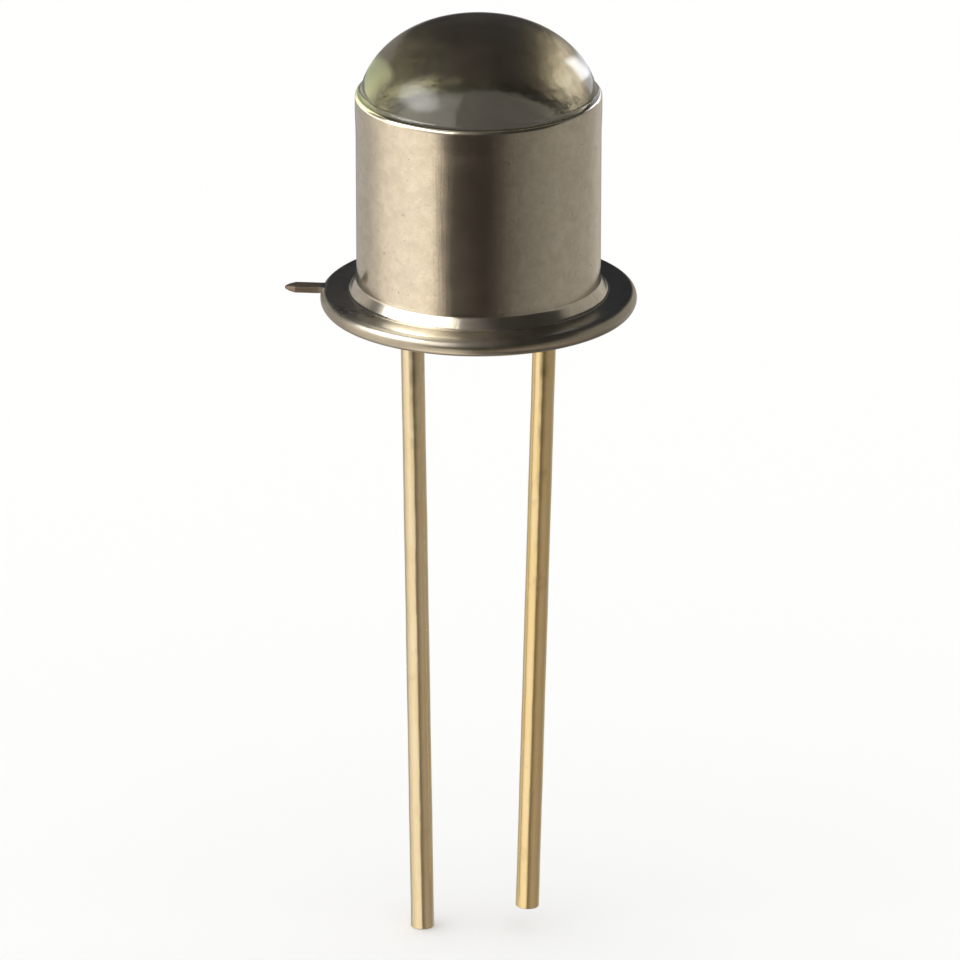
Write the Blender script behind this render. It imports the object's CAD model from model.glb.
import math

import bmesh
import bpy
import numpy as np
from mathutils import Matrix, Vector
from mathutils.geometry import delaunay_2d_cdt


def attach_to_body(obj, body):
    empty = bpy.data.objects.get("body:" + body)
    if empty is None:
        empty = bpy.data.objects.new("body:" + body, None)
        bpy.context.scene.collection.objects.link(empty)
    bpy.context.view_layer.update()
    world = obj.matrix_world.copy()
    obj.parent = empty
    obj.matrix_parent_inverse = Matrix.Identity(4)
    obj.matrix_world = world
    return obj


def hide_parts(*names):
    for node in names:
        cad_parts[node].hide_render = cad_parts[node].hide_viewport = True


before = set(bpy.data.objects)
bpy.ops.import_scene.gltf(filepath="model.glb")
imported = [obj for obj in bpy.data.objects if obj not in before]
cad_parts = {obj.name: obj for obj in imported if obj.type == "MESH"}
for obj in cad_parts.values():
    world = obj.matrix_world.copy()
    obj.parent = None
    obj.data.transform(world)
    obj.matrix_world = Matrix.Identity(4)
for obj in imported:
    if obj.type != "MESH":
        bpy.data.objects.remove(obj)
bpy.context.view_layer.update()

MM = 0.001
SEG = 256  # steps round the axis on the large turned pieces

# ------------------------------------------------------------------ sizes, mm
CAN_R, CAN_TOP, CAN_T = 2.33, 4.31, 0.10
FOOT_R, FOOT_EDGE = 2.49, 0.008
FLARE, FLARE_TOP, FLARE_LOW, FLARE_END = 33.0, 0.09, 0.07, 80.0  # cone, blends, last slope
MOUTH_R = CAN_R + 0.022
LIP_OUT, LIP_IN = 0.075, 0.025
DOME_Z, DOME_R, DOME_H = CAN_TOP - LIP_IN, MOUTH_R - CAN_T, 1.421
DOME_P, DOME_Q = 1.58, 2.46
LENS_LOW, LENS_SAG = 3.34, -0.50
WET_Z, WET_ANGLE = 4.40, 48.0  # where the wetting glass joins the dome, and where it ends on the lip
FLANGE_R, FLANGE_T, FLANGE_LOW_R, FLANGE_TOP_R = 3.02, 0.36, 0.19, 0.16
PLAT_R, PLAT_Z, PLAT_T = 2.03, 1.15, 0.25
CUP_R, EYELET_R = 1.80, 0.42
LEAD_X, LEAD_R = 1.27, 0.225
SEAL_LOW = 0.05
POST_TOP, HEAD_R, HEAD_T = 1.40, 0.30, 0.08
TAB_REACH, TAB_W, TAB_T, TAB_ANGLE, TAB_POINT = 3.71, 0.30, 0.12, 5.0, 0.20
DIE_W, DIE_H, ATTACH_T = 0.36, 0.20, 0.02
WIRE_R, WIRE_RISE, BALL_R, BALL_T = 0.015, 0.30, 0.045, 0.025


# ------------------------------------------------------------------ mesh code
def arc(cx, cz, r, a0, a1, n):
    return [
        (cx + r * math.cos(math.radians(a0 + (a1 - a0) * i / n)),
         cz + r * math.sin(math.radians(a0 + (a1 - a0) * i / n)))
        for i in range(n + 1)
    ]


def line(a, b, n):
    """Points after a, up to and with b."""
    return [(a[0] + (b[0] - a[0]) * i / n, a[1] + (b[1] - a[1]) * i / n) for i in range(1, n + 1)]


def finish_mesh(name, verts, faces, sharp=30.0):
    """A closed object from points in mm, with smooth faces and sharp edges by angle."""
    mesh = bpy.data.meshes.new(name)
    mesh.from_pydata([(x * MM, y * MM, z * MM) for x, y, z in verts], [], faces)
    bm = bmesh.new()
    bm.from_mesh(mesh)
    bmesh.ops.remove_doubles(bm, verts=bm.verts, dist=1e-8)
    bmesh.ops.dissolve_degenerate(bm, edges=bm.edges, dist=1e-9)
    bmesh.ops.recalc_face_normals(bm, faces=bm.faces)
    loose = [e for e in bm.edges if len(e.link_faces) != 2]
    if loose:
        raise RuntimeError(f"{name}: {len(loose)} edges without exactly two faces")
    if bm.calc_volume(signed=True) < 0:
        bmesh.ops.reverse_faces(bm, faces=bm.faces)
    bm.to_mesh(mesh)
    bm.free()
    mesh.polygons.foreach_set("use_smooth", [True] * len(mesh.polygons))
    mesh.set_sharp_from_angle(angle=math.radians(sharp))
    mesh.update()
    obj = bpy.data.objects.new(name, mesh)
    bpy.context.scene.collection.objects.link(obj)
    return obj


def lathe_data(prof, seg, closed):
    """Turns a profile of (r, z) round Z. Points on the axis become poles. A closed profile makes a ring."""
    verts, faces, rows = [], [], []
    for r, z in prof:
        if r < 1e-7:
            rows.append([len(verts)])
            verts.append((0.0, 0.0, z))
        else:
            rows.append(list(range(len(verts), len(verts) + seg)))
            verts += [
                (r * math.cos(2 * math.pi * j / seg), r * math.sin(2 * math.pi * j / seg), z)
                for j in range(seg)
            ]
    pairs = list(zip(rows, rows[1:])) + ([(rows[-1], rows[0])] if closed else [])
    for a, b in pairs:
        for j in range(seg):
            k = (j + 1) % seg
            if len(a) == 1 and len(b) == 1:
                continue
            if len(a) == 1:
                faces.append((a[0], b[k], b[j]))
            elif len(b) == 1:
                faces.append((a[j], a[k], b[0]))
            else:
                faces.append((a[j], a[k], b[k], b[j]))
    return verts, faces


def lathe(name, prof, seg=SEG, closed=False, sharp=30.0):
    verts, faces = lathe_data(prof, seg, closed)
    return finish_mesh(name, verts, faces, sharp)


def circle(cx, cy, r, n, start=0.0):
    return [
        (cx + r * math.cos(2 * math.pi * (j / n) + start), cy + r * math.sin(2 * math.pi * (j / n) + start))
        for j in range(n)
    ]


def plate(loops, extra):
    """Triangles of the area inside the first loop and outside the others, with extra inner points."""
    pts, edges = [], []
    for loop in loops:
        n0 = len(pts)
        pts += loop
        edges += [(n0 + i, n0 + (i + 1) % len(loop)) for i in range(len(loop))]
    pts += extra
    out = delaunay_2d_cdt([Vector(p) for p in pts], edges, [], 0, 1e-7)
    v2, f2 = out[0], out[2]
    keep = []
    holes = []
    for loop in loops[1:]:
        c = np.mean(np.array(loop), axis=0)
        holes.append((c, max(np.hypot(*(np.array(p) - c)) for p in loop)))
    outer = max(math.hypot(*p) for p in loops[0])
    for f in f2:
        m = np.mean([[v2[i][0], v2[i][1]] for i in f], axis=0)
        if math.hypot(*m) > outer or any(np.hypot(*(m - c)) < r * 0.9995 for c, r in holes):
            continue
        keep.append(tuple(f))
    return [(v[0], v[1]) for v in v2], keep


def sweep_data(path, radii, sides, up=(0, 1, 0)):
    """A round tube along a path, with a radius at each point, closed with flat caps."""
    P = [Vector(p) for p in path]
    verts, faces = [], []
    b = Vector(up)
    for i, p in enumerate(P):
        d = (P[min(i + 1, len(P) - 1)] - P[max(i - 1, 0)]).normalized()
        n = b.cross(d).normalized()
        for j in range(sides):
            a = 2 * math.pi * j / sides
            q = p + radii[i] * (math.cos(a) * n + math.sin(a) * d.cross(n))
            verts.append(tuple(q))
    for i in range(len(P) - 1):
        for j in range(sides):
            k = (j + 1) % sides
            faces.append((i * sides + j, i * sides + k, (i + 1) * sides + k, (i + 1) * sides + j))
    for i, flip in ((0, True), (len(P) - 1, False)):
        c = len(verts)
        verts.append(tuple(P[i]))
        for j in range(sides):
            k = (j + 1) % sides
            tri = (i * sides + j, i * sides + k, c)
            faces.append(tri[::-1] if flip else tri)
    return verts, faces


def boolean(obj, other, operation):
    """Applies an exact boolean, then removes the other object."""
    m = obj.modifiers.new("cut", "BOOLEAN")
    m.operation, m.solver, m.object = operation, "EXACT", other
    dg = bpy.context.evaluated_depsgraph_get()
    mesh = bpy.data.meshes.new_from_object(obj.evaluated_get(dg))
    obj.modifiers.clear()
    obj.data = mesh
    bpy.data.objects.remove(other)
    return obj


# ------------------------------------------------------------------ the can
def can_profile():
    # the foot: a blend, a steep flare, a wider blend, and an edge welded down on the flange
    th, te = math.radians(FLARE), math.radians(FLARE_END)
    r3, z3 = FOOT_R - 0.003, FLANGE_T + FOOT_EDGE
    r2, z2 = r3 - FLARE_LOW * (math.cos(th) - math.cos(te)), z3 + FLARE_LOW * (math.sin(te) - math.sin(th))
    r1 = CAN_R + FLARE_TOP * (1 - math.cos(th))
    z1 = z2 + (r2 - r1) / math.tan(th)
    zb = z1 + FLARE_TOP * math.sin(th)
    p = [(CAN_R - CAN_T + 0.18, FLANGE_T), (CAN_R, FLANGE_T), (FOOT_R, FLANGE_T), (FOOT_R, FLANGE_T + FOOT_EDGE * 0.7)]
    p += arc(r2 + FLARE_LOW * math.cos(th), z2 + FLARE_LOW * math.sin(th), FLARE_LOW, 180 + FLARE_END, 180 + FLARE, 10)
    p += line(p[-1], (r1, z1), 4)
    p += arc(CAN_R + FLARE_TOP, zb, FLARE_TOP, 180 + FLARE, 180, 10)[1:]
    # the wall draws in very slightly downwards, and the mouth swells where the glass went in
    z0, z1 = zb, CAN_TOP - 0.36
    wall = []
    for i in range(1, 25):
        z = z0 + (z1 - z0) * i / 24
        u = (z - z0) / (z1 - z0)
        w = min(1.0, max(0.0, (z - (CAN_TOP - 0.80)) / 0.44))
        wall.append((0.010 * u + 0.012 * w * w * (3 - 2 * w), z))
    p += [(CAN_R + d, z) for d, z in wall]
    p += arc(MOUTH_R - LIP_OUT, CAN_TOP - LIP_OUT, LIP_OUT, 0, 90, 14)
    p += arc(MOUTH_R - CAN_T + LIP_IN, CAN_TOP - LIP_IN, LIP_IN, 90, 180, 6)[1:]
    p += [(CAN_R - CAN_T + d, z) for d, z in reversed(wall)]
    p += [(CAN_R - CAN_T, zb)]
    p += arc(CAN_R - CAN_T + 0.17, FLANGE_T + 0.17, 0.17, 180, 262, 12)
    return p


can = lathe("can_shell", can_profile(), closed=True, sharp=40)


# ------------------------------------------------------------------ the lens
def dome_pt(t):
    return (DOME_R * max(0.0, 1 - t ** DOME_P) ** (1 / DOME_Q), DOME_Z + DOME_H * t)


def lens_profile():
    over = 0.006  # the fused side lies just inside the metal
    side = CAN_R - CAN_T
    p = [(side * i / 24, LENS_LOW - LENS_SAG * (1 - (i / 24) ** 2)) for i in range(25)]
    p[-1] = (side + over, LENS_LOW)
    p += line(p[-1], (side + over + 0.008, CAN_TOP - 0.80), 4)
    p += [(side + over + 0.009 + d, z) for d, z in ((0.0028, CAN_TOP - 0.70), (0.006, CAN_TOP - 0.58), (0.010, CAN_TOP - 0.46), (0.012, CAN_TOP - 0.36))]
    # the glass wets the lip: a thin film over its crown, then a hollow that climbs into the dome
    lc, lz = MOUTH_R - LIP_OUT, CAN_TOP - LIP_OUT
    p += [(MOUTH_R - CAN_T + over, CAN_TOP - LIP_IN - 0.03), (MOUTH_R - CAN_T + LIP_IN, CAN_TOP - over)]
    p += [(lc + (LIP_OUT - over) * math.cos(math.radians(a)), lz + (LIP_OUT - over) * math.sin(math.radians(a))) for a in (86, 70, 58)]
    t1 = (WET_Z - DOME_Z) / DOME_H
    r1, z1 = dome_pt(t1)
    r2, z2 = dome_pt(t1 + 0.002)
    k = math.hypot(r2 - r1, z2 - z1)
    a0 = math.radians(WET_ANGLE)
    q0 = (lc + (LIP_OUT + 0.001) * math.cos(a0), lz + (LIP_OUT + 0.001) * math.sin(a0))
    q1 = (q0[0] - 0.045 * math.cos(math.radians(30)), q0[1] + 0.045 * math.sin(math.radians(30)))
    q2 = (r1 - 0.055 * (r2 - r1) / k, z1 - 0.055 * (z2 - z1) / k)
    q3 = (r1, z1)
    for i in range(15):
        v = i / 14
        w = ((1 - v) ** 3, 3 * v * (1 - v) ** 2, 3 * v * v * (1 - v), v ** 3)
        p.append(tuple(sum(w[j] * q[c] for j, q in enumerate((q0, q1, q2, q3))) for c in (0, 1)))
    n = 110
    for i in range(n + 1):
        t = 1 - (1 - i / n) ** 2.2
        r, z = dome_pt(t)
        if z > WET_Z + 0.006:
            p.append((r, z))
    p[-1] = (0.0, DOME_Z + DOME_H)
    return p


lens = lathe("dome_lens", lens_profile(), sharp=50)


# ------------------------------------------------------------------ the header
def header_piece():
    n_hole = 64
    flat_r = PLAT_R - 0.08
    hole = circle(-LEAD_X, 0, EYELET_R, n_hole)
    extra = []
    for r in (0.35, 0.7, 1.05, 1.4, 1.68):
        for x, y in circle(0, 0, r, int(16 + 40 * r)):
            if math.hypot(x + LEAD_X, y) > EYELET_R + 0.06:
                extra.append((x, y))
    verts, faces = [], []

    def add(vs, fs):
        n0 = len(verts)
        verts.extend(vs)
        faces.extend(tuple(n0 + i for i in f) for f in fs)

    # the turned outside: platform edge, platform side, flange, cup
    prof = list(reversed(arc(PLAT_R - 0.08, PLAT_Z - 0.08, 0.08, 0, 90, 8)))
    prof += line(prof[-1], (PLAT_R, FLANGE_T + 0.04), 3)
    prof += [(PLAT_R + 0.012, FLANGE_T + 0.012), (PLAT_R + 0.04, FLANGE_T)]
    prof += line(prof[-1], (FLANGE_R - FLANGE_TOP_R, FLANGE_T), 10)
    prof += list(reversed(arc(FLANGE_R - FLANGE_TOP_R, FLANGE_T - FLANGE_TOP_R, FLANGE_TOP_R, 0, 90, 14)))[1:]
    prof += line(prof[-1], (FLANGE_R, FLANGE_LOW_R), 3)
    prof += list(reversed(arc(FLANGE_R - FLANGE_LOW_R, FLANGE_LOW_R, FLANGE_LOW_R, -90, 0, 20)))[1:]
    prof += line(prof[-1], (CUP_R + 0.05, 0.0), 6)
    prof += arc(CUP_R + 0.05, 0.05, 0.05, 270, 180, 6)[1:]
    prof += line(prof[-1], (CUP_R, PLAT_Z - PLAT_T), 5)
    add(*lathe_data(prof, SEG, False))
    # the platform's two faces, with the eyelet through them
    for z, r in ((PLAT_Z, flat_r), (PLAT_Z - PLAT_T, CUP_R)):
        pts, tris = plate([circle(0, 0, r, SEG), hole], [e for e in extra if math.hypot(*e) < r - 0.06])
        add([(x, y, z) for x, y in pts], tris)
    ring = [(x, y, PLAT_Z) for x, y in hole] + [(x, y, PLAT_Z - PLAT_T) for x, y in hole]
    add(ring, [(i, (i + 1) % n_hole, n_hole + (i + 1) % n_hole, n_hole + i) for i in range(n_hole)])
    header = finish_mesh("header_base", verts, faces, sharp=35)

    # the index tab: a stamped tongue with a sheared point, root buried in the flange
    rows = []
    root = FLANGE_R - 0.20
    for x, hw, ht in (
        (root, TAB_W / 2, TAB_T / 2), (FLANGE_R + 0.02, TAB_W / 2, TAB_T / 2),
        (TAB_REACH - TAB_POINT, TAB_W / 2, TAB_T / 2), (TAB_REACH - TAB_POINT * 0.45, TAB_W / 2 * 0.62, TAB_T / 2 * 0.78),
        (TAB_REACH - 0.02, 0.045, 0.026), (TAB_REACH, 0.022, 0.014),
    ):
        c = min(hw, ht) * 0.16
        rows.append([
            (x, hw - c, ht), (x, hw - c * 0.29, ht - c * 0.29), (x, hw, ht - c), (x, hw, -ht + c), (x, hw - c * 0.29, -ht + c * 0.29), (x, hw - c, -ht),
            (x, -hw + c, -ht), (x, -hw + c * 0.29, -ht + c * 0.29), (x, -hw, -ht + c), (x, -hw, ht - c), (x, -hw + c * 0.29, ht - c * 0.29), (x, -hw + c, ht),
        ])
    tv, tf = [p for row in rows for p in row], []
    k = len(rows[0])
    for i in range(len(rows) - 1):
        for j in range(k):
            tf.append((i * k + j, i * k + (j + 1) % k, (i + 1) * k + (j + 1) % k, (i + 1) * k + j))
    tf.append(tuple(range(k)))
    tf.append(tuple(len(tv) - k + j for j in reversed(range(k))))
    a = math.radians(180 - TAB_ANGLE)
    zc = FLANGE_T - 0.08
    tv = [(x * math.cos(a) - y * math.sin(a), x * math.sin(a) + y * math.cos(a), z + zc) for x, y, z in tv]
    tab = finish_mesh("tab", tv, tf, sharp=20)
    boolean(header, tab, "UNION")
    header.data.polygons.foreach_set("use_smooth", [True] * len(header.data.polygons))
    header.data.set_sharp_from_angle(angle=math.radians(21))
    return header


header = header_piece()


# ------------------------------------------------------------------ sealing glass
def seal_piece():
    low = [circle(0, 0, CUP_R, 160), circle(-LEAD_X, 0, LEAD_R, 40), circle(LEAD_X, 0, LEAD_R, 40)]
    extra = []
    for dr in (0.02, 0.045, 0.08, 0.13, 0.20):
        extra += circle(0, 0, CUP_R - dr, 160)
        for s in (-1, 1):
            extra += [p for p in circle(s * LEAD_X, 0, LEAD_R + dr * 0.9, 40) if math.hypot(*p) < CUP_R - 0.21]
    for r in (0.25, 0.5, 0.75, 1.0, 1.25, 1.45):
        extra += [p for p in circle(0, 0, r, int(12 + 40 * r)) if all(math.hypot(p[0] - s * LEAD_X, p[1]) > LEAD_R + 0.22 for s in (-1, 1))]
    extra = [p for p in extra if all(math.hypot(p[0] - s * LEAD_X, p[1]) > LEAD_R + 0.01 for s in (-1, 1))]
    pts, tris = plate(low, extra)
    verts, faces = [], []

    def sag(x, y):
        """The glass climbs a little on the metal it wets."""
        wall = CUP_R - math.hypot(x, y)
        d = min(math.hypot(x - s * LEAD_X, y) - LEAD_R for s in (-1, 1))
        z = SEAL_LOW + 0.012
        z -= 0.052 * math.exp(-max(d, 0) / 0.07)
        z -= 0.030 * math.exp(-max(wall, 0) / 0.06)
        z += 0.006 * math.sin(3.1 * x + 1.0) * math.cos(2.7 * y)
        return max(z, 0.004)

    verts += [(x, y, sag(x, y)) for x, y in pts]
    faces += [tuple(reversed(t)) for t in tris]
    # top face at the platform's underside
    n0 = len(verts)
    verts += [(x, y, PLAT_Z - PLAT_T) for x, y in pts]
    faces += [tuple(n0 + i for i in t) for t in tris]
    index = {(round(x, 6), round(y, 6)): i for i, (x, y) in enumerate(pts)}
    for loop in low:
        ids = [index[(round(x, 6), round(y, 6))] for x, y in (tuple(Vector(p)) for p in loop)]
        for i in range(len(ids)):
            a, b = ids[i], ids[(i + 1) % len(ids)]
            faces.append((a, b, n0 + b, n0 + a))
    seal = finish_mesh("seal_glass_fill", verts, faces, sharp=60)
    # the collar that fills the eyelet round the insulated lead
    collar = lathe_data(
        [(LEAD_R, PLAT_Z - PLAT_T - 0.02), (EYELET_R, PLAT_Z - PLAT_T - 0.02), (EYELET_R, PLAT_Z - 0.006),
         (EYELET_R - 0.03, PLAT_Z - 0.016), (LEAD_R + 0.10, PLAT_Z - 0.018), (LEAD_R + 0.04, PLAT_Z - 0.004), (LEAD_R, PLAT_Z + 0.03)], 64, True)
    other = finish_mesh("collar", [(x - LEAD_X, y, z) for x, y, z in collar[0]], collar[1], 40)
    boolean(seal, other, "UNION")
    seal.data.polygons.foreach_set("use_smooth", [True] * len(seal.data.polygons))
    seal.data.set_sharp_from_angle(angle=math.radians(50))
    return seal


seal = seal_piece()


# ------------------------------------------------------------------ leads
def lead_piece(name, side, length, lean_deg, top, head):
    lean = math.radians(lean_deg)
    bend_r, bend_z = 4.0, -0.10
    path, radii = [], []

    def put(x, z, r):
        path.append((side * (LEAD_X - x), 0.0, z))
        radii.append(r)

    if head:
        for z, r in ((top, 0.0), (top, HEAD_R - 0.02), (top - 0.006, HEAD_R - 0.006), (top - 0.02, HEAD_R), (top - HEAD_T + 0.015, HEAD_R),
                     (top - HEAD_T + 0.003, HEAD_R - 0.008), (top - HEAD_T, HEAD_R - 0.02), (top - HEAD_T, LEAD_R + 0.012), (top - HEAD_T - 0.012, LEAD_R)):
            if r > 0:
                put(0, z, r)
    else:
        put(0, top, LEAD_R - 0.015)
        put(0, top - 0.015, LEAD_R)
    for i in range(9):
        z = (top - 0.12) + (bend_z - (top - 0.12)) * i / 8
        put(0, z, LEAD_R)
    for i in range(1, 9):
        a = lean * i / 8
        put(bend_r * (1 - math.cos(a)), bend_z - bend_r * math.sin(a), LEAD_R)
    x0, z0 = bend_r * (1 - math.cos(lean)), bend_z - bend_r * math.sin(lean)
    run = (length + z0) / math.cos(lean)
    n = 150
    for i in range(1, n + 1):
        s = (run - 0.012) * i / n
        # drawn wire is never quite even
        d = 0.0012 * math.sin(s * 2.1 + side) + 0.0009 * math.sin(s * 5.3 + 2 * side) - 0.0014
        put(x0 + s * math.sin(lean), z0 - s * math.cos(lean), LEAD_R + d * min(1, s / 0.5) * min(1, (run - s) / 0.05))
    put(x0 + run * math.sin(lean), z0 - run * math.cos(lean), LEAD_R - 0.012)
    # a horizontal ring at each point: only the direction of the ring's plane matters at the head
    verts, faces = [], []
    sides = 64
    count = len(path)
    for i, (p, r) in enumerate(zip(path, radii)):
        if p[2] > bend_z - 1e-9:
            d = Vector((0, 0, -1))
        else:
            a = Vector(path[max(i - 1, 0)])
            b = Vector(path[min(i + 1, count - 1)])
            d = (b - a).normalized()
        nrm = Vector((0, 1, 0)).cross(d).normalized()
        bi = d.cross(nrm)
        for j in range(sides):
            t = 2 * math.pi * j / sides
            verts.append(tuple(Vector(p) + r * (math.cos(t) * nrm + math.sin(t) * bi)))
    for i in range(count - 1):
        for j in range(sides):
            k = (j + 1) % sides
            faces.append((i * sides + j, i * sides + k, (i + 1) * sides + k, (i + 1) * sides + j))
    for i, flip in ((0, True), (count - 1, False)):
        c = len(verts)
        verts.append(path[i])
        for j in range(sides):
            k = (j + 1) % sides
            tri = (i * sides + j, i * sides + k, c)
            faces.append(tri[::-1] if flip else tri)
    return finish_mesh(name, verts, faces, sharp=40)


anode = lead_piece("anode_lead_wire", -1, 12.70, 0.85, POST_TOP, True)
cathode = lead_piece("cathode_lead_wire", 1, 12.28, 1.55, PLAT_Z - PLAT_T, False)


# ------------------------------------------------------------------ emitter
def attach_piece():
    """A squeezed-out pad of conductive adhesive, with a fillet up the die's sides."""
    seg, r0 = 72, DIE_W * 0.78
    verts, faces = [], []
    rows = [(0.96, 0.0), (1.0, 0.004), (0.985, 0.010), (0.93, 0.0155), (0.86, 0.019), (0.72, 0.022)]
    for f, z in rows:
        for j in range(seg):
            a = 2 * math.pi * j / seg
            w = 1 + 0.012 * math.sin(3 * a + 0.7) - 0.015 * (math.sin(5 * a) ** 2)
            verts.append((r0 * f * w * math.cos(a), r0 * f * w * math.sin(a), PLAT_Z + z))
    for i in range(len(rows) - 1):
        for j in range(seg):
            k = (j + 1) % seg
            faces.append((i * seg + j, i * seg + k, (i + 1) * seg + k, (i + 1) * seg + j))
    verts += [(0, 0, PLAT_Z), (0, 0, PLAT_Z + 0.0205)]
    b, t = len(verts) - 2, len(verts) - 1
    for j in range(seg):
        k = (j + 1) % seg
        faces.append((k, j, b))
        faces.append(((len(rows) - 1) * seg + j, (len(rows) - 1) * seg + k, t))
    return finish_mesh("attach_pad", verts, faces, 60)


def rounded_square(h, c, z, n=4):
    pts = []
    for q, (sx, sy) in enumerate(((1, 1), (-1, 1), (-1, -1), (1, -1))):
        for i in range(n + 1):
            a = math.radians(90 * q + 90 * i / n)
            pts.append((sx * (h - c) + c * math.cos(a), sy * (h - c) + c * math.sin(a), z))
    return pts


def die_piece():
    """Sawn semiconductor block with an etched mesa and a round metal contact."""
    z0 = PLAT_Z + ATTACH_T
    h, m = DIE_W / 2, DIE_W / 2 - 0.02
    rows = [
        rounded_square(h - 0.003, 0.004, z0), rounded_square(h, 0.004, z0 + 0.004), rounded_square(h, 0.004, z0 + DIE_H - 0.046),
        rounded_square(h - 0.003, 0.005, z0 + DIE_H - 0.042), rounded_square(m + 0.006, 0.010, z0 + DIE_H - 0.040),
        rounded_square(m + 0.001, 0.012, z0 + DIE_H - 0.030), rounded_square(m - 0.002, 0.012, z0 + DIE_H - 0.004), rounded_square(m - 0.006, 0.012, z0 + DIE_H - 0.002),
    ]
    k = len(rows[0])
    verts = [p for row in rows for p in row]
    faces = [
        (i * k + j, i * k + (j + 1) % k, (i + 1) * k + (j + 1) % k, (i + 1) * k + j)
        for i in range(len(rows) - 1) for j in range(k)
    ]
    faces.append(tuple(reversed(range(k))))
    # top: rings in to a round contact, two microns proud
    ring = []
    for r, z in ((0.078, z0 + DIE_H - 0.002), (0.074, z0 + DIE_H), (0.040, z0 + DIE_H)):
        ring.append(len(verts))
        for j in range(k):
            x, y, _ = rows[-1][j]
            a = math.atan2(y, x)
            verts.append((r * math.cos(a), r * math.sin(a), z))
    last = (len(rows) - 1) * k
    for a0, b0 in ((last, ring[0]), (ring[0], ring[1]), (ring[1], ring[2])):
        for j in range(k):
            faces.append((a0 + j, a0 + (j + 1) % k, b0 + (j + 1) % k, b0 + j))
    c = len(verts)
    verts.append((0, 0, z0 + DIE_H))
    for j in range(k):
        faces.append((ring[2] + j, ring[2] + (j + 1) % k, c))
    return finish_mesh("emitter_die", verts, faces, 30)


def wire_piece():
    """Ball bond on the die, a low loop, and a wedge on the post's head."""
    top = PLAT_Z + ATTACH_T + DIE_H
    ax, az = -0.03, top + BALL_T
    bx, bz = -LEAD_X + 0.10, POST_TOP + WIRE_R * 2 * 0.45

    def at(t):
        return Vector((
            ax + (bx - ax) * (t - 0.10 * math.sin(2 * math.pi * t) * (1 - t)), 0.0,
            az + (bz - az) * t + WIRE_RISE * math.sin(math.pi * t ** 0.72)))

    n = 90
    path, radii = [], []
    # the ball: a flattened bead under the wire's neck
    for z, r in ((top, 0.030), (top + 0.003, 0.040), (top + 0.009, 0.0445), (top + 0.016, BALL_R), (top + 0.023, 0.041), (top + 0.028, 0.030), (top + 0.031, 0.020)):
        path.append((ax, 0.0, z))
        radii.append(r)
    for i in range(n + 1):
        t = i / n
        p = at(t)
        if p.z < top + 0.034 and t < 0.5:
            continue
        path.append(tuple(p))
        radii.append(WIRE_R if t < 0.97 else WIRE_R * (1 - 0.25 * (t - 0.97) / 0.03))
    verts, faces = [], []
    sides = 24
    count = len(path)
    for i, (p, r) in enumerate(zip(path, radii)):
        d = Vector((0, 0, 1)) if i < 8 else (Vector(path[min(i + 1, count - 1)]) - Vector(path[i - 1])).normalized()
        nrm = Vector((0, 1, 0)).cross(d).normalized()
        bi = d.cross(nrm)
        for j in range(sides):
            a = 2 * math.pi * j / sides
            verts.append(tuple(Vector(p) + r * (math.cos(a) * nrm + math.sin(a) * bi)))
    for i in range(count - 1):
        for j in range(sides):
            k = (j + 1) % sides
            faces.append((i * sides + j, i * sides + k, (i + 1) * sides + k, (i + 1) * sides + j))
    for i, flip in ((0, True), (count - 1, False)):
        c = len(verts)
        verts.append(path[i])
        for j in range(sides):
            k = (j + 1) % sides
            tri = (i * sides + j, i * sides + k, c)
            faces.append(tri[::-1] if flip else tri)
    wire = finish_mesh("bond_wire_loop", verts, faces, 40)
    # the wedge: a flat thumbprint of wire with rounded ends
    prof = []
    for u, w, h in ((-0.075, 0.006, 0.003), (-0.066, 0.018, 0.008), (-0.045, 0.026, 0.011), (-0.015, 0.028, 0.012), (0.012, 0.024, 0.015), (0.030, 0.015, 0.020)):
        x = bx + u
        prof.append([(x, -w, POST_TOP), (x, -w * 0.8, POST_TOP + h * 0.8), (x, -w * 0.3, POST_TOP + h), (x, w * 0.3, POST_TOP + h), (x, w * 0.8, POST_TOP + h * 0.8), (x, w, POST_TOP)])
    k = 6
    wv = [p for row in prof for p in row]
    wf = [(i * k + j, i * k + (j + 1) % k, (i + 1) * k + (j + 1) % k, (i + 1) * k + j) for i in range(len(prof) - 1) for j in range(k)]
    wf.append(tuple(range(k)))
    wf.append(tuple(len(wv) - k + j for j in reversed(range(k))))
    wedge = finish_mesh("wedge", wv, wf, 40)
    boolean(wire, wedge, "UNION")
    wire.data.polygons.foreach_set("use_smooth", [True] * len(wire.data.polygons))
    wire.data.set_sharp_from_angle(angle=math.radians(50))
    return wire


attach, die, wire = attach_piece(), die_piece(), wire_piece()


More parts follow.
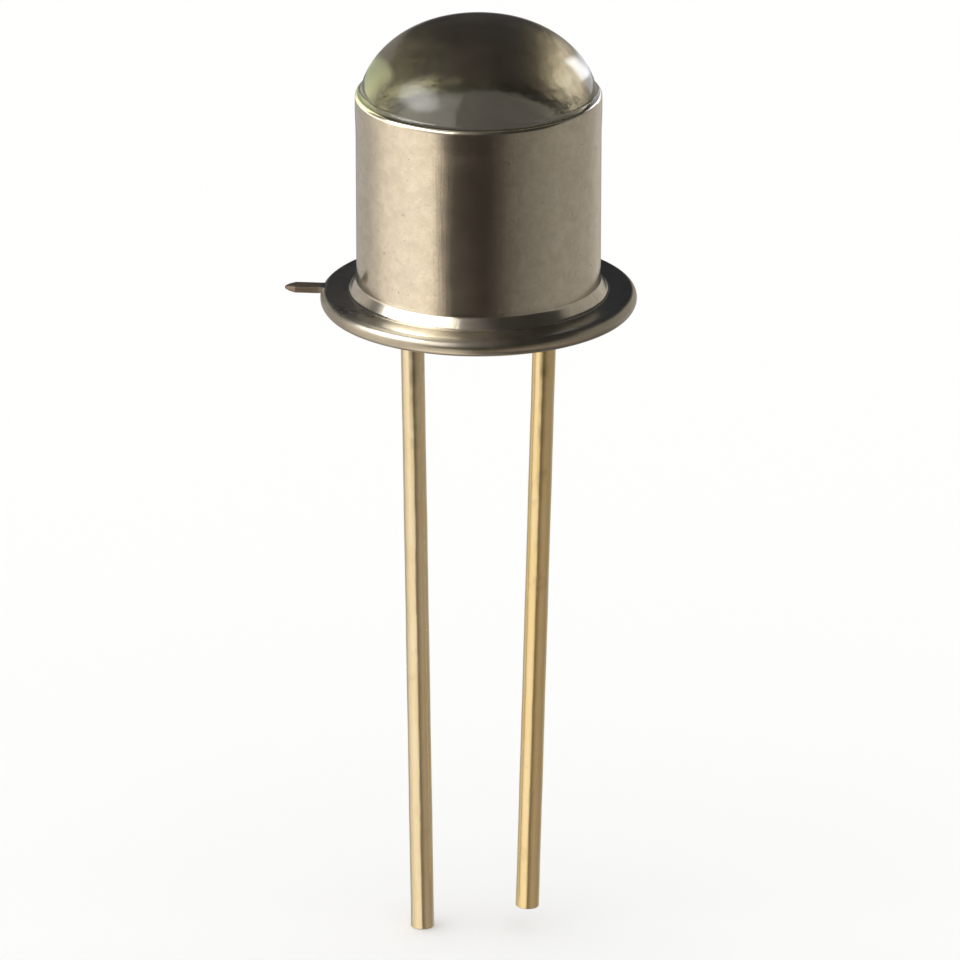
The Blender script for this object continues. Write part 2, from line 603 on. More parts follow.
# ------------------------------------------------------------------ materials
class Nodes:
    """A short way to write node trees."""

    def __init__(self, tree):
        self.tree = tree
        tree.nodes.clear()

    def new(self, kind, **sets):
        n = self.tree.nodes.new(kind)
        for k, v in sets.items():
            setattr(n, k, v)
        return n

    def put(self, socket, value):
        if isinstance(value, bpy.types.NodeSocket):
            self.tree.links.new(value, socket)
        else:
            socket.default_value = value

    def math(self, op, a, b=None, c=None, clamp=False):
        n = self.new("ShaderNodeMath", operation=op, use_clamp=clamp)
        for s, v in zip(n.inputs, (a, b, c)):
            if v is not None:
                self.put(s, v)
        return n.outputs[0]

    def vec(self, op, a, b=None):
        n = self.new("ShaderNodeVectorMath", operation=op)
        for s, v in zip(n.inputs, (a, b)):
            if v is not None:
                self.put(s, v)
        return n.outputs["Value"] if op in ("LENGTH", "DOT_PRODUCT") else n.outputs[0]

    def range(self, v, a, b, c=0.0, d=1.0, kind="SMOOTHSTEP"):
        n = self.new("ShaderNodeMapRange", interpolation_type=kind, clamp=True)
        for s, x in zip(n.inputs, (v, a, b, c, d)):
            self.put(s, x)
        return n.outputs[0]

    def noise(self, vector, scale, detail=3.0, rough=0.5, distortion=0.0, kind="FBM"):
        n = self.new("ShaderNodeTexNoise", noise_dimensions="3D", noise_type=kind)
        self.put(n.inputs["Vector"], vector)
        n.inputs["Scale"].default_value = scale
        n.inputs["Detail"].default_value = detail
        n.inputs["Roughness"].default_value = rough
        n.inputs["Distortion"].default_value = distortion
        return n.outputs[0]

    def scaled(self, vector, sx, sy, sz, lx=0.0, ly=0.0, lz=0.0):
        n = self.new("ShaderNodeMapping", vector_type="POINT")
        self.put(n.inputs["Vector"], vector)
        n.inputs["Scale"].default_value = (sx, sy, sz)
        n.inputs["Location"].default_value = (lx, ly, lz)
        return n.outputs[0]

    def mix(self, fac, a, b, kind="MIX"):
        n = self.new("ShaderNodeMix", data_type="RGBA", blend_type=kind, clamp_factor=True)
        self.put(n.inputs[0], fac)
        self.put(n.inputs[6], a if isinstance(a, bpy.types.NodeSocket) else (*a, 1.0))
        self.put(n.inputs[7], b if isinstance(b, bpy.types.NodeSocket) else (*b, 1.0))
        return n.outputs[2]

    def ramp(self, fac, stops, kind="LINEAR"):
        n = self.new("ShaderNodeValToRGB")
        r = n.color_ramp
        r.interpolation = kind
        while len(r.elements) > 1:
            r.elements.remove(r.elements[-1])
        r.elements[0].position, r.elements[0].color = stops[0][0], (*stops[0][1], 1.0)
        for p, c in stops[1:]:
            r.elements.new(p).color = (*c, 1.0)
        self.put(n.inputs[0], fac)
        return n.outputs[0]

    def bump(self, height, strength, distance, normal=None):
        n = self.new("ShaderNodeBump")
        n.inputs["Strength"].default_value = strength
        n.inputs["Distance"].default_value = distance
        self.put(n.inputs["Height"], height)
        if normal is not None:
            self.put(n.inputs["Normal"], normal)
        return n.outputs[0]


def material(name):
    m = bpy.data.materials.new(name)
    m.use_nodes = True
    t = Nodes(m.node_tree)
    out = t.new("ShaderNodeOutputMaterial")
    b = t.new("ShaderNodeBsdfPrincipled")
    m.node_tree.links.new(b.outputs[0], out.inputs["Surface"])
    place = t.new("ShaderNodeTexCoord").outputs["Object"]
    mm = t.vec("MULTIPLY", place, (1000.0, 1000.0, 1000.0))  # object coordinates in millimetres
    return m, t, b, mm


def cylinder_coords(t, mm):
    """Radius, angle round the axis and height of a point, in millimetres."""
    sep = t.new("ShaderNodeSeparateXYZ")
    t.put(sep.inputs[0], mm)
    x, y, z = sep.outputs
    r = t.math("SQRT", t.math("ADD", t.math("MULTIPLY", x, x), t.math("MULTIPLY", y, y)))
    return x, y, z, r


INNER_A, INNER_B, INNER_ROUGH = (0.76, 0.71, 0.61), (0.84, 0.79, 0.69), -0.125


def mat_can():
    m, t, b, mm = material("can_nickel_satin")
    x, y, z, r = cylinder_coords(t, mm)
    # plating: faint warm and cool clouds, and fine marks round the barrel from turning
    clouds = t.noise(mm, 0.9, 4, 0.6, 0.4)
    speck = t.noise(mm, 26.0, 2, 0.55)
    lines = t.noise(t.scaled(mm, 0.7, 0.7, 34.0), 1.0, 3, 0.65)
    streak = t.noise(t.scaled(mm, 7.0, 7.0, 0.35), 1.0, 3, 0.6)
    mottle = t.noise(mm, 3.6, 4, 0.70, 0.5)
    stain = t.noise(t.scaled(mm, 1.0, 1.0, 1.0, 3.1, 1.7, 0.4), 11.0, 2, 0.5)
    col = t.mix(t.range(clouds, 0.35, 0.68), (0.820, 0.770, 0.684), (0.850, 0.808, 0.730))
    col = t.mix(t.math("MULTIPLY", t.range(mottle, 0.36, 0.66, kind="LINEAR"), 0.62), col, (0.640, 0.600, 0.520))
    col = t.mix(t.math("MULTIPLY", t.range(speck, 0.50, 0.78), 0.24), col, (0.60, 0.555, 0.475))
    # a few small dark spots in the plate
    col = t.mix(t.math("MULTIPLY", t.range(stain, 0.715, 0.765), 0.75), col, (0.22, 0.19, 0.15))
    # the inside was blackened when the glass was fused in
    inner = t.math("MULTIPLY", t.range(r, CAN_R - 0.035, CAN_R - 0.065), t.range(z, CAN_TOP - 0.004, CAN_TOP - 0.035))
    oxide = t.mix(t.noise(mm, 3.0, 3, 0.6), INNER_A, INNER_B)
    col = t.mix(inner, col, oxide)
    t.put(b.inputs["Base Color"], col)
    b.inputs["Metallic"].default_value = 1.0
    rough = t.math("ADD", 0.145, t.math("MULTIPLY", clouds, 0.06))
    rough = t.math("ADD", rough, t.math("MULTIPLY", t.math("SUBTRACT", lines, 0.5), 0.08))
    rough = t.math("ADD", rough, t.math("MULTIPLY", t.math("SUBTRACT", mottle, 0.5), 0.10))
    rough = t.math("ADD", rough, t.math("MULTIPLY", inner, INNER_ROUGH))
    t.put(b.inputs["Roughness"], rough)
    n1 = t.bump(lines, 0.10, 0.000006)
    n2 = t.bump(streak, 0.10, 0.000020, n1)
    n3 = t.bump(speck, 0.12, 0.000006, n2)
    n4 = t.bump(t.noise(mm, 1.15, 1, 0.4), 0.12, 0.00010, n3)
    t.put(b.inputs["Normal"], n4)
    return m


def mat_header():
    m, t, b, mm = material("header_nickel")
    x, y, z, r = cylinder_coords(t, mm)
    clouds = t.noise(mm, 1.3, 4, 0.6, 0.3)
    grain = t.noise(mm, 30.0, 3, 0.6)
    dark = t.noise(mm, 2.4, 3, 0.65, 0.6)
    col = t.mix(t.range(clouds, 0.35, 0.68), (0.470, 0.440, 0.385), (0.540, 0.508, 0.448))
    col = t.mix(t.math("MULTIPLY", t.range(dark, 0.55, 0.80), 0.45), col, (0.28, 0.26, 0.22))
    col = t.mix(t.math("MULTIPLY", t.range(grain, 0.55, 0.80), 0.18), col, (0.36, 0.335, 0.285))
    # the platform keeps the gold flash that the die is bonded on
    gold = t.math("MULTIPLY", t.range(r, PLAT_R + 0.02, PLAT_R - 0.02), t.range(z, FLANGE_T + 0.1, FLANGE_T + 0.3))
    col = t.mix(gold, col, (0.70, 0.56, 0.33))
    # the sheared tab is brown with oxide
    bare = t.range(r, FLANGE_R + 0.005, FLANGE_R + 0.06)
    col = t.mix(bare, col, t.mix(t.range(dark, 0.35, 0.65), (0.300, 0.225, 0.190), (0.235, 0.205, 0.165)))
    t.put(b.inputs["Base Color"], col)
    b.inputs["Metallic"].default_value = 1.0
    rough = t.math("ADD", 0.22, t.math("MULTIPLY", clouds, 0.14))
    rough = t.math("ADD", rough, t.math("MULTIPLY", bare, 0.24))
    t.put(b.inputs["Roughness"], t.math("ADD", rough, t.math("MULTIPLY", gold, 0.08)))
    n1 = t.bump(grain, 0.14, 0.000006)
    n2 = t.bump(t.noise(mm, 2.0, 2, 0.5), 0.10, 0.00006, n1)
    t.put(b.inputs["Normal"], n2)
    return m


def mat_lead(name, pale, deep, seed):
    m, t, b, mm = material(name)
    along = t.scaled(mm, 3.2, 3.2, 0.55, seed, 0, 0)
    soft = t.noise(along, 1.0, 4, 0.6, 0.2)
    blotch = t.noise(t.scaled(mm, 2.2, 2.2, 1.6, 0, seed, 0), 1.0, 3, 0.6, 0.6)
    fine = t.noise(t.scaled(mm, 16.0, 16.0, 1.4, seed, 0, 0), 1.0, 3, 0.6)
    col = t.mix(t.range(soft, 0.35, 0.68), pale, deep)
    col = t.mix(t.math("MULTIPLY", t.range(blotch, 0.56, 0.76), 0.30), col, (0.66, 0.50, 0.33))
    t.put(b.inputs["Base Color"], col)
    b.inputs["Metallic"].default_value = 1.0
    t.put(b.inputs["Roughness"], t.math("ADD", 0.17, t.math("MULTIPLY", blotch, 0.14)))
    n1 = t.bump(fine, 0.16, 0.000008)
    n2 = t.bump(t.noise(t.scaled(mm, 1.6, 1.6, 1.1, seed, 0, 0), 1.0, 2, 0.5), 0.22, 0.00010, n1)
    t.put(b.inputs["Normal"], n2)
    return m


def mat_lens():
    m, t, b, mm = material("lens_glass_clear")
    cord = t.noise(t.scaled(mm, 1.0, 1.0, 1.6), 1.4, 3, 0.5, 0.8)
    col = t.mix(cord, (0.960, 0.958, 0.920), (0.930, 0.926, 0.870))
    smoke = t.noise(mm, 2.6, 4, 0.62, 0.5)
    col = t.mix(t.math("MULTIPLY", t.range(smoke, 0.46, 0.72), 0.55), col, (0.60, 0.585, 0.54))
    t.put(b.inputs["Base Color"], col)
    b.inputs["Metallic"].default_value = 0.0
    b.inputs["Transmission Weight"].default_value = 1.0
    b.inputs["IOR"].default_value = 1.50
    t.put(b.inputs["Roughness"], t.math("ADD", 0.095, t.math("MULTIPLY", t.range(t.noise(mm, 4.0, 3, 0.6), 0.35, 0.75), 0.05)))
    n1 = t.bump(t.noise(mm, 4.5, 2, 0.5), 0.10, 0.00003, t.bump(cord, 0.05, 0.00008))
    t.put(b.inputs["Normal"], n1)
    return m


def mat_seal():
    m, t, b, mm = material("seal_glass_dark")
    clouds = t.noise(mm, 3.5, 4, 0.6, 0.5)
    fizz = t.new("ShaderNodeTexVoronoi", feature="F1")
    t.put(fizz.inputs["Vector"], mm)
    fizz.inputs["Scale"].default_value = 9.0
    bubble = t.range(fizz.outputs["Distance"], 0.05, 0.22, 1.0, 0.0)
    col = t.mix(t.range(clouds, 0.3, 0.7), (0.022, 0.030, 0.027), (0.050, 0.062, 0.055))
    col = t.mix(t.math("MULTIPLY", bubble, 0.35), col, (0.13, 0.15, 0.14))
    t.put(b.inputs["Base Color"], col)
    t.put(b.inputs["Roughness"], t.math("ADD", 0.07, t.math("MULTIPLY", bubble, 0.12)))
    b.inputs["IOR"].default_value = 1.52
    t.put(b.inputs["Normal"], t.bump(bubble, 0.3, 0.00001, t.bump(clouds, 0.2, 0.00003)))
    return m


def mat_attach():
    m, t, b, mm = material("attach_silver_paste")
    flake = t.new("ShaderNodeTexVoronoi", feature="F1")
    t.put(flake.inputs["Vector"], mm)
    flake.inputs["Scale"].default_value = 90.0
    col = t.mix(flake.outputs["Distance"], (0.72, 0.71, 0.68), (0.50, 0.49, 0.47))
    t.put(b.inputs["Base Color"], col)
    b.inputs["Metallic"].default_value = 0.85
    t.put(b.inputs["Roughness"], t.math("ADD", 0.38, t.math("MULTIPLY", flake.outputs["Distance"], 0.25)))
    t.put(b.inputs["Normal"], t.bump(flake.outputs["Distance"], 0.4, 0.000004))
    return m


def mat_die():
    m, t, b, mm = material("die_semiconductor_dark")
    x, y, z, r = cylinder_coords(t, mm)
    top = t.range(z, PLAT_Z + ATTACH_T + DIE_H - 0.0022, PLAT_Z + ATTACH_T + DIE_H - 0.0015)
    pad = t.math("MULTIPLY", t.range(r, 0.080, 0.076), top)
    saw = t.noise(t.scaled(mm, 6.0, 6.0, 120.0), 1.0, 2, 0.5)
    col = t.mix(t.range(t.noise(mm, 12.0, 3, 0.5), 0.3, 0.7), (0.085, 0.080, 0.095), (0.14, 0.13, 0.15))
    col = t.mix(pad, col, (0.95, 0.74, 0.38))
    t.put(b.inputs["Base Color"], col)
    t.put(b.inputs["Metallic"], t.math("ADD", 0.35, t.math("MULTIPLY", pad, 0.65)))
    t.put(b.inputs["Roughness"], t.math("ADD", 0.20, t.math("MULTIPLY", saw, 0.20)))
    b.inputs["IOR"].default_value = 2.6
    t.put(b.inputs["Normal"], t.bump(saw, 0.2, 0.000002))
    return m


def mat_wire():
    m, t, b, mm = material("wire_gold_fine")
    v = t.noise(mm, 40.0, 3, 0.6)
    t.put(b.inputs["Base Color"], t.mix(v, (0.98, 0.78, 0.40), (0.90, 0.68, 0.31)))
    b.inputs["Metallic"].default_value = 1.0
    t.put(b.inputs["Roughness"], t.math("ADD", 0.16, t.math("MULTIPLY", v, 0.12)))
    t.put(b.inputs["Normal"], t.bump(v, 0.2, 0.000001))
    return m


PIECES = [
    (can, "can", "can_nickel", mat_can()),
    (lens, "lens", "lens_glass", mat_lens()),
    (header, "header", "header_nickel", mat_header()),
    (seal, "seal_glass", "seal_glass", mat_seal()),
    (anode, "anode_lead", "lead_gold", mat_lead("lead_gold_pale", (0.90, 0.82, 0.62), (0.86, 0.76, 0.52), 3.7)),
    (cathode, "cathode_lead", "lead_gold", mat_lead("lead_gold_warm", (0.94, 0.80, 0.50), (0.92, 0.76, 0.42), 11.3)),
    (attach, "die_attach", "attach_silver", mat_attach()),
    (die, "led_die", "die_semiconductor", mat_die()),
    (wire, "bond_wire", "wire_gold", mat_wire()),
]
for piece, node, slot, mat in PIECES:
    piece.data.materials.clear()
    piece.data.materials.append(mat)
    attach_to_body(piece, "root")
    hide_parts(node)


# ------------------------------------------------------------------ floor
def floor_piece():
    z = -12.704
    prof_r = [0.0] + [2.0 * 1.35 ** i for i in range(25)]
    verts, faces = [], []
    seg = 96
    verts.append((0, 0, z))
    for r in prof_r[1:]:
        verts += [(r * math.cos(2 * math.pi * j / seg), r * math.sin(2 * math.pi * j / seg), z) for j in range(seg)]
    for j in range(seg):
        faces.append((0, 1 + j, 1 + (j + 1) % seg))
    for i in range(len(prof_r) - 2):
        a, b = 1 + i * seg, 1 + (i + 1) * seg
        for j in range(seg):
            k = (j + 1) % seg
            faces.append((a + j, b + j, b + k, a + k))
    mesh = bpy.data.meshes.new("floor")
    mesh.from_pydata([(x * MM, y * MM, w * MM) for x, y, w in verts], [], faces)
    obj = bpy.data.objects.new("floor", mesh)
    bpy.context.scene.collection.objects.link(obj)
    m = bpy.data.materials.new("floor_pale")
    m.use_nodes = True
    t = Nodes(m.node_tree)
    out = t.new("ShaderNodeOutputMaterial")
    b = t.new("ShaderNodeBsdfDiffuse")
    b.inputs["Color"].default_value = (0.93, 0.93, 0.925, 1)
    m.node_tree.links.new(b.outputs[0], out.inputs["Surface"])
    mesh.materials.append(m)
    obj.visible_glossy = False
    obj.visible_transmission = False
    return obj


floor = floor_piece()


# ------------------------------------------------------------------ light
def studio():
    """A soft surround, set by direction: azimuth 0 is towards -Y, positive towards +X. Sight and diffuse light get plain white."""
    world = bpy.data.worlds.new("studio")
    bpy.context.scene.world = world
    world.use_nodes = True
    world.cycles.sampling_method = "NONE"
    t = Nodes(world.node_tree)
    out = t.new("ShaderNodeOutputWorld")
    sep = t.new("ShaderNodeSeparateXYZ")
    t.put(sep.inputs[0], t.vec("NORMALIZE", t.new("ShaderNodeTexCoord").outputs["Generated"]))
    x, y, z = sep.outputs
    az = t.math("MULTIPLY", t.math("ARCTAN2", x, t.math("MULTIPLY", y, -1.0)), 57.29578)
    el = t.math("MULTIPLY", t.math("ARCSINE", z), 57.29578)
    u = t.math("ADD", t.math("DIVIDE", az, 360.0), 0.5)

    def stops(*rows):
        return [((a + 180) / 360, c) for a, c in rows]

    # below the horizon: a lit table to the left, a shaded front, a dimmer right
    low = t.ramp(u, stops(
        (-180, (0.30, 0.275, 0.24)), (-158, (0.46, 0.43, 0.39)), (-140, (0.46, 0.43, 0.39)), (-125, (0.50, 0.45, 0.39)), (-112, (0.64, 0.57, 0.48)), (-98, (0.93, 0.82, 0.68)),
        (-62, (1.10, 0.97, 0.80)), (-46, (1.08, 0.95, 0.77)), (-39, (0.72, 0.62, 0.49)), (-31, (0.15, 0.125, 0.100)), (-23, (0.046, 0.037, 0.030)),
        (8, (0.036, 0.029, 0.025)), (20, (0.074, 0.064, 0.052)), (34, (0.150, 0.135, 0.108)),
        (55, (0.225, 0.205, 0.165)), (80, (0.300, 0.275, 0.230)), (112, (0.340, 0.312, 0.265)), (135, (0.42, 0.385, 0.33)), (150, (0.52, 0.48, 0.42)), (162, (0.52, 0.48, 0.42)), (180, (0.30, 0.275, 0.24))))
    # above it: dim all round, dark and cool at the back
    high = t.ramp(u, stops(
        (-180, (0.038, 0.042, 0.050)), (-140, (0.040, 0.042, 0.046)), (-100, (0.16, 0.15, 0.135)), (-40, (0.15, 0.138, 0.122)),
        (-9, (0.19, 0.172, 0.155)), (4, (0.080, 0.073, 0.066)), (20, (0.045, 0.040, 0.035)), (60, (0.036, 0.033, 0.029)), (92, (0.050, 0.047, 0.042)), (115, (0.075, 0.070, 0.064)), (140, (0.040, 0.042, 0.046)), (180, (0.038, 0.042, 0.050))))
    # overhead, and below
    top = t.mix(t.range(x, 0.02, 0.24), (0.150, 0.132, 0.112), (0.030, 0.028, 0.026))
    top = t.mix(t.range(x, -0.10, -0.36), top, (0.42, 0.385, 0.325))
    down = t.ramp(u, stops(
        (-180, (0.22, 0.205, 0.18)), (-135, (0.50, 0.45, 0.37)), (-95, (1.30, 1.16, 0.93)), (-60, (1.75, 1.56, 1.24)), (-28, (1.35, 1.20, 0.94)), (-16, (0.42, 0.38, 0.31)), (-6, (0.12, 0.11, 0.095)),
        (20, (0.10, 0.092, 0.08)), (60, (0.14, 0.13, 0.112)), (120, (0.17, 0.158, 0.138)), (180, (0.22, 0.205, 0.18))))
    # how far above the horizon the lit ground shows, by azimuth
    def lift(*rows):
        return t.ramp(u, stops(*[(a, ((e + 20) / 60,) * 3) for a, e in rows]))

    edge = lift((-180, -7), (-173, -5), (-162, 10), (-148, 22), (-120, 18), (-100, 6), (-60, 0), (-30, -4), (0, -4),
                (30, -4), (58, -3), (76, 16), (92, 32), (120, 28), (148, 22), (162, 10), (173, -5), (180, -7))
    over = t.math("SUBTRACT", el, t.math("SUBTRACT", t.math("MULTIPLY", edge, 60.0), 20.0))
    env = t.mix(t.range(over, -6.0, 6.0), low, high)
    env = t.mix(t.range(el, 42.0, 68.0), env, top)
    env = t.mix(t.range(el, -23.0, -40.0), env, down)

    # a broad window on the left, brightest near its middle
    wide = t.math("MULTIPLY", t.range(az, -20.5, -26.0), t.range(az, -108.0, -88.0))
    wide = t.math("MULTIPLY", wide, t.math("MULTIPLY", t.range(el, -4.0, 9.0), t.range(el, 60.0, 44.0)))
    env = t.mix(wide, env, (2.00, 1.90, 1.68))
    da = t.math("DIVIDE", t.math("SUBTRACT", az, -72.0), 27.0)
    de = t.math("DIVIDE", t.math("SUBTRACT", el, 33.0), 15.0)
    d2 = t.math("ADD", t.math("MULTIPLY", da, da), t.math("MULTIPLY", de, de))
    env = t.mix(t.range(d2, 1.5, 0.0), env, (7.6, 7.5, 7.2))

    # what is seen through the glass: its domed underside turns the sight back to the front, where the room is dark,
    # except beyond the window's edge
    front = t.ramp(u, stops(
        (-180, (0.10, 0.095, 0.080)), (-120, (0.45, 0.42, 0.30)), (-80, (1.20, 1.12, 0.92)), (-40, (1.60, 1.54, 1.40)), (-34, (1.60, 1.54, 1.38)), (-30, (1.25, 1.18, 1.00)), (-28.5, (0.95, 0.87, 0.70)),
        (-27, (0.58, 0.515, 0.39)), (-25, (0.30, 0.262, 0.200)), (-22.5, (0.110, 0.094, 0.074)), (-19, (0.050, 0.043, 0.037)), (-15, (0.036, 0.033, 0.030)),
        (-8, (0.034, 0.030, 0.028)), (4, (0.044, 0.036, 0.033)), (14, (0.038, 0.032, 0.028)), (18, (0.038, 0.032, 0.027)), (24, (0.048, 0.042, 0.034)),
        (40, (0.22, 0.215, 0.145)), (60, (0.48, 0.47, 0.30)), (120, (0.30, 0.29, 0.21)), (180, (0.10, 0.095, 0.080))))
    under = t.ramp(u, stops(
        (-180, (0.12, 0.110, 0.090)), (-90, (0.70, 0.62, 0.48)), (-50, (1.7, 1.6, 1.4)), (-44, (4.2, 4.15, 4.0)), (-36.5, (4.8, 4.75, 4.6)), (-34.5, (3.0, 2.95, 2.75)), (-33, (2.2, 2.10, 1.88)), (-31, (1.40, 1.30, 1.10)), (-28.5, (0.44, 0.39, 0.29)), (-25.5, (0.080, 0.068, 0.052)),
        (-18, (0.040, 0.035, 0.031)), (-9, (0.050, 0.045, 0.034)), (-2, (0.10, 0.095, 0.060)), (4, (0.12, 0.115, 0.075)), (9, (0.40, 0.39, 0.250)), (13, (0.52, 0.51, 0.320)), (20, (0.54, 0.53, 0.335)),
        (40, (0.52, 0.51, 0.31)), (90, (0.30, 0.28, 0.22)), (180, (0.12, 0.110, 0.090))))
    back = t.ramp(u, stops(
        (-180, (0.088, 0.080, 0.068)), (-168, (0.080, 0.072, 0.062)), (-158, (0.100, 0.090, 0.075)), (-140, (0.28, 0.25, 0.20)), (-115, (0.50, 0.47, 0.38)), (-60, (1.2, 1.15, 1.0)), (-30, (0.40, 0.38, 0.32)), (-12, (0.10, 0.095, 0.085)),
        (12, (0.10, 0.095, 0.085)), (40, (0.22, 0.21, 0.16)), (90, (0.40, 0.385, 0.26)), (140, (0.40, 0.38, 0.25)), (163, (0.17, 0.155, 0.125)), (172, (0.105, 0.096, 0.080)), (180, (0.088, 0.080, 0.068))))
    thru = t.mix(t.range(el, -6.0, -13.0), front, under)
    thru = t.mix(t.math("MULTIPLY", t.range(el, -2.2, -4.6), t.math("MULTIPLY", t.range(az, 15.0, 17.0), t.range(az, 60.0, 30.0))), thru, (0.62, 0.62, 0.40))
    thru = t.mix(t.range(el, 7.0, 16.0), thru, back)

    path = t.new("ShaderNodeLightPath")
    plain = (1.06, 1.06, 1.06)
    col = t.mix(path.outputs["Is Glossy Ray"], plain, env)
    col = t.mix(path.outputs["Is Transmission Ray"], col, thru)
    bg = t.new("ShaderNodeBackground")
    t.put(bg.inputs["Color"], col)
    world.node_tree.links.new(bg.outputs[0], out.inputs["Surface"])

    key = bpy.data.lights.new("key", "AREA")
    key.shape, key.size, key.size_y = "RECTANGLE", 0.16, 0.12
    key.energy = 0.012
    key.color = (1.0, 0.985, 0.96)
    lamp = bpy.data.objects.new("key", key)
    bpy.context.scene.collection.objects.link(lamp)
    lamp.location = (-0.14, -0.05, 0.16)
    lamp.rotation_mode = "QUATERNION"
    lamp.rotation_quaternion = (Vector((0, 0, -0.004)) - lamp.location).to_track_quat("-Z", "Y")
    lamp.visible_glossy = False
    lamp.visible_transmission = False
    lamp.visible_camera = False



def glow(name, stops, weight):
    """An emitting material by azimuth, which is clear where its weight is 0."""
    m = bpy.data.materials.new(name)
    m.use_nodes = True
    t = Nodes(m.node_tree)
    out = t.new("ShaderNodeOutputMaterial")
    sep = t.new("ShaderNodeSeparateXYZ")
    t.put(sep.inputs[0], t.new("ShaderNodeTexCoord").outputs["Object"])
    x, y, z = sep.outputs
    az = t.math("MULTIPLY", t.math("ARCTAN2", x, t.math("MULTIPLY", y, -1.0)), 57.29578)
    r = t.math("SQRT", t.math("ADD", t.math("MULTIPLY", x, x), t.math("MULTIPLY", y, y)))
    u = t.math("ADD", t.math("DIVIDE", az, 360.0), 0.5)
    e = t.new("ShaderNodeEmission")
    t.put(e.inputs["Color"], t.ramp(u, [((a + 180) / 360, c) for a, c in stops]))
    clear = t.new("ShaderNodeBsdfTransparent")
    mixer = t.new("ShaderNodeMixShader")
    t.put(mixer.inputs[0], weight(t, az, z, r))
    m.node_tree.links.new(clear.outputs[0], mixer.inputs[1])
    m.node_tree.links.new(e.outputs[0], mixer.inputs[2])
    m.node_tree.links.new(mixer.outputs[0], out.inputs["Surface"])
    return m


def low_card():
    """What stands round the legs, low and near: a cream sheet to the left, a gap, and a brown bench to the right. Only reflections see it."""
    r0, n, zs = 22.0, 96, (-7.0, -8.0, -9.0, -10.0, -14.0, -20.0, -30.0)
    verts, faces = [], []
    for z in zs:
        for i in range(n + 1):
            a = math.radians(-110 + 230 * i / n)
            verts.append((r0 * math.sin(a) * MM, -r0 * math.cos(a) * MM, z * MM))
    for k in range(len(zs) - 1):
        for i in range(n):
            j = k * (n + 1) + i
            faces.append((j, j + 1, j + n + 2, j + n + 1))
    mesh = bpy.data.meshes.new("low_card")
    mesh.from_pydata(verts, [], faces)
    obj = bpy.data.objects.new("low_card", mesh)
    bpy.context.scene.collection.objects.link(obj)
    mesh.materials.append(glow("low_card_glow", (
        (-110, (0.70, 0.60, 0.48)), (-60, (1.04, 0.92, 0.76)), (-15, (1.04, 0.92, 0.75)), (-9, (0.60, 0.50, 0.38)), (-4, (0.20, 0.155, 0.11)),
        (6, (0.17, 0.130, 0.095)), (20, (0.33, 0.265, 0.205)), (45, (0.42, 0.345, 0.27)), (85, (0.34, 0.28, 0.22)), (120, (0.28, 0.235, 0.185))),
        lambda t, az, z, r: t.math("MULTIPLY", t.range(z, -0.0080, -0.0098), t.math("MULTIPLY", t.range(az, -108.0, -80.0), t.range(az, 118.0, 90.0)))))
    obj.visible_camera = obj.visible_diffuse = obj.visible_transmission = obj.visible_shadow = False


def side_card():
    """Two lights close beside the dome, a pale green strip at its left and a small white window at its right. Only reflections on the dome see them."""
    r0, zs = 3.0, (4.32, 4.6, 5.0, 5.5, 6.0, 6.6)
    verts, faces = [], []
    for a0, a1, n in ((-160, -72, 40), (86, 140, 32)):
        first = len(verts)
        for z in zs:
            for i in range(n + 1):
                a = math.radians(a0 + (a1 - a0) * i / n)
                verts.append((r0 * math.sin(a) * MM, -r0 * math.cos(a) * MM, z * MM))
        for k in range(len(zs) - 1):
            for i in range(n):
                j = first + k * (n + 1) + i
                faces.append((j, j + 1, j + n + 2, j + n + 1))
    mesh = bpy.data.meshes.new("side_card")
    mesh.from_pydata(verts, [], faces)
    obj = bpy.data.objects.new("side_card", mesh)
    bpy.context.scene.collection.objects.link(obj)

    def weight(t, az, z, r):
        high = t.math("MULTIPLY", z, 1000.0)
        off = t.math("ADD", az, 94.0)
        top = t.math("ADD", t.math("SUBTRACT", high, 5.82), t.math("MULTIPLY", t.math("MULTIPLY", off, off), 0.0009))
        left = t.math("MULTIPLY", t.range(top, 0.20, -0.26), t.math("MULTIPLY", t.range(az, -75.5, -86.0), t.range(az, -160.0, -148.0)))
        foot = t.range(t.math("ADD", high, t.math("MULTIPLY", az, 0.022)), 6.98, 7.18)
        side = t.range(t.math("SUBTRACT", az, t.math("MULTIPLY", high, 12.0)), 30.6, 40.6)
        head = t.range(t.math("ADD", high, t.math("MULTIPLY", az, 0.05)), 11.5, 11.05)
        spot = t.math("MULTIPLY", t.math("MULTIPLY", foot, t.range(az, 131.0, 107.0)), t.math("MULTIPLY", side, head))
        limb = t.math("MULTIPLY", t.math("MULTIPLY", t.range(high, 5.0, 4.8), 0.26), t.math("MULTIPLY", t.range(az, 94.0, 101.0), t.range(az, 138.0, 126.0)))
        return t.math("MAXIMUM", left, t.math("MAXIMUM", spot, limb))

    mesh.materials.append(glow("side_card_glow", (
        (-122, (0.90, 0.95, 0.62)), (-112, (1.35, 1.43, 0.93)), (-105, (1.95, 2.08, 1.25)), (-98, (2.60, 2.70, 1.50)), (-92, (2.85, 2.90, 1.65)), (-86, (2.55, 2.58, 1.55)),
        (-80, (1.60, 1.60, 1.05)), (-74, (1.0, 1.0, 0.8)), (80, (4.3, 4.4, 4.7)), (165, (4.3, 4.4, 4.7))), weight))
    obj.visible_camera = obj.visible_diffuse = obj.visible_transmission = obj.visible_shadow = False


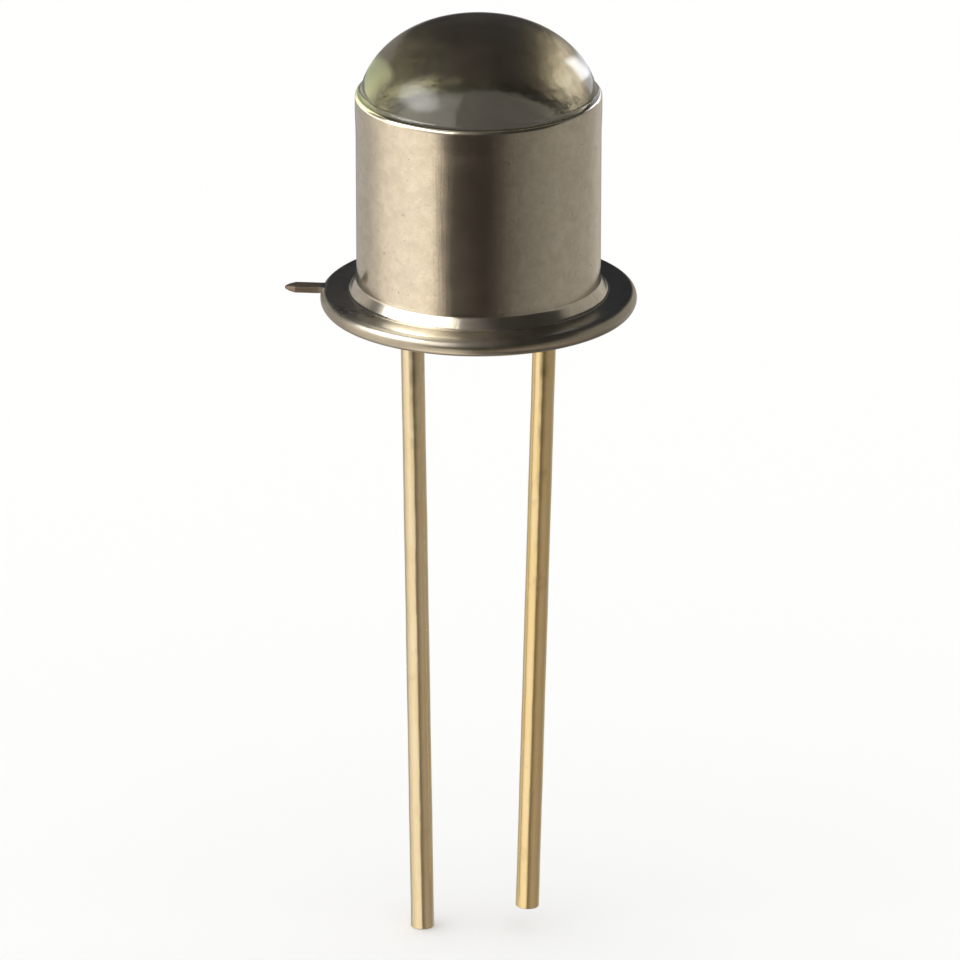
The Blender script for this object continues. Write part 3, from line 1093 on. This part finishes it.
def high_card():
    """A small pale card level with the mouth, over the flange's left front, which throws a sheen on its edge. Only reflections see it."""
    n, rs = 64, (2.42, 2.60, 3.00, 3.60, 4.40)
    verts, faces = [], []
    for r in rs:
        for i in range(n + 1):
            a = math.radians(-118 + 114 * i / n)
            verts.append((r * math.sin(a) * MM, -r * math.cos(a) * MM, 4.20 * MM))
    for k in range(len(rs) - 1):
        for i in range(n):
            j = k * (n + 1) + i
            faces.append((j, j + 1, j + n + 2, j + n + 1))
    mesh = bpy.data.meshes.new("high_card")
    mesh.from_pydata(verts, [], faces)
    obj = bpy.data.objects.new("high_card", mesh)
    bpy.context.scene.collection.objects.link(obj)
    mesh.materials.append(glow("high_card_glow", ((-118, (0.9, 0.84, 0.70)), (-92, (1.5, 1.40, 1.16)), (-60, (2.3, 2.16, 1.80)), (-48, (2.2, 2.06, 1.70)), (-36, (1.05, 0.96, 0.78)), (-22, (0.40, 0.36, 0.31)), (-4, (0.10, 0.09, 0.08))),
        lambda t, az, z, r: t.math("MULTIPLY", t.range(r, 0.00440, 0.00400), t.math("MULTIPLY", t.range(az, -118.0, -96.0), t.range(az, -6.0, -24.0)))))
    obj.visible_camera = obj.visible_diffuse = obj.visible_transmission = obj.visible_shadow = False


studio()
low_card()
high_card()
side_card()

# ------------------------------------------------------------------ camera
cam_data = bpy.data.cameras.new("camera")
cam_data.sensor_width = 36.0
cam_data.sensor_fit = "HORIZONTAL"
cam_data.lens = 587.25
cam_data.clip_start, cam_data.clip_end = 0.01, 20.0
cam = bpy.data.objects.new("camera", cam_data)
bpy.context.scene.collection.objects.link(cam)
EL, DIST = math.radians(20.0), 0.300
aim = Vector((0.027 * MM, 0.0, -3.527 * MM))
back = Vector((0.0, -math.cos(EL), math.sin(EL)))
cam.location = aim + back * DIST
cam.rotation_mode = "QUATERNION"
cam.rotation_quaternion = (-back).to_track_quat("-Z", "Y")
bpy.context.scene.camera = cam

view = bpy.context.scene.view_settings
view.view_transform, view.look, view.exposure, view.gamma = "Standard", "None", 0.0, 1.0
